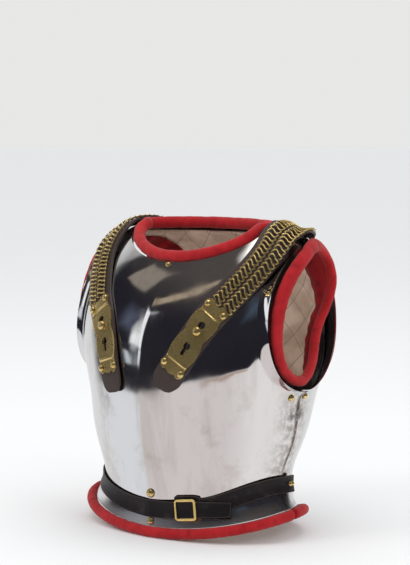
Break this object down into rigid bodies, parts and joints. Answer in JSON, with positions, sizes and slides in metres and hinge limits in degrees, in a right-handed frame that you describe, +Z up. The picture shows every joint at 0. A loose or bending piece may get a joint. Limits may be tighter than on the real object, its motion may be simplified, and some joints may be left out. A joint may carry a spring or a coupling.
{
  "type": "cuirass",
  "caption": "Polished steel breast- and backplate with red cloth edging, quilted lining, chained shoulder straps and a buckled waist belt.",
  "frame": {"origin": "middle of the bounding box's foot, on the surface that the cuirass stands on", "axes": "+Z up, -Y the way the wearer faces, +X the wearer's left"},
  "size_m": [0.3714, 0.2992, 0.4389],
  "materials": {
    "polished_steel": "mirror polished, lightly stained",
    "brass": "aged, dark in the recesses",
    "dark_leather": "worn, slight sheen",
    "red_cloth": "woollen cloth",
    "beige_quilt": "quilted lining"
  },
  "bodies": {
    "root": {"armhole_trim_back_left": "red_cloth", "armhole_trim_back_right": "red_cloth", "armhole_trim_front_left": "red_cloth", "armhole_trim_front_right": "red_cloth", "back_lining": "beige_quilt", "backplate": "polished_steel", "belt_rivet_left_a": "brass", "belt_rivet_left_b": "brass", "belt_rivet_right_a": "brass", "belt_rivet_right_b": "brass", "belt_strap_left": "dark_leather", "belt_strap_right": "dark_leather", "breast_lining": "beige_quilt", "breastplate": "polished_steel", "buckle_frame": "brass", "chain_inner_left": "brass", "chain_inner_right": "brass", "chain_outer_left": "brass", "chain_outer_right": "brass", "flange_stud": "brass", "hem_trim_back": "red_cloth", "hem_trim_front": "red_cloth", "hook_plate_left": "brass", "hook_plate_right": "brass", "neck_stud": "brass", "neck_trim_back": "red_cloth", "neck_trim_front": "red_cloth", "plate_rivet_left_high_a": "brass", "plate_rivet_left_high_b": "brass", "plate_rivet_left_low_a": "brass", "plate_rivet_left_low_b": "brass", "plate_rivet_right_high_a": "brass", "plate_rivet_right_high_b": "brass", "plate_rivet_right_low_a": "brass", "plate_rivet_right_low_b": "brass", "rear_rivet_left_a": "brass", "rear_rivet_left_b": "brass", "rear_rivet_right_a": "brass", "rear_rivet_right_b": "brass", "shoulder_strap_left": "dark_leather", "shoulder_strap_right": "dark_leather", "side_stud_back_left": "brass", "side_stud_back_right": "brass", "side_stud_front_left": "brass", "side_stud_front_right": "brass", "strap_stud_left": "brass", "strap_stud_right": "brass", "waist_stud": "brass"}
  },
  "joints": []
}
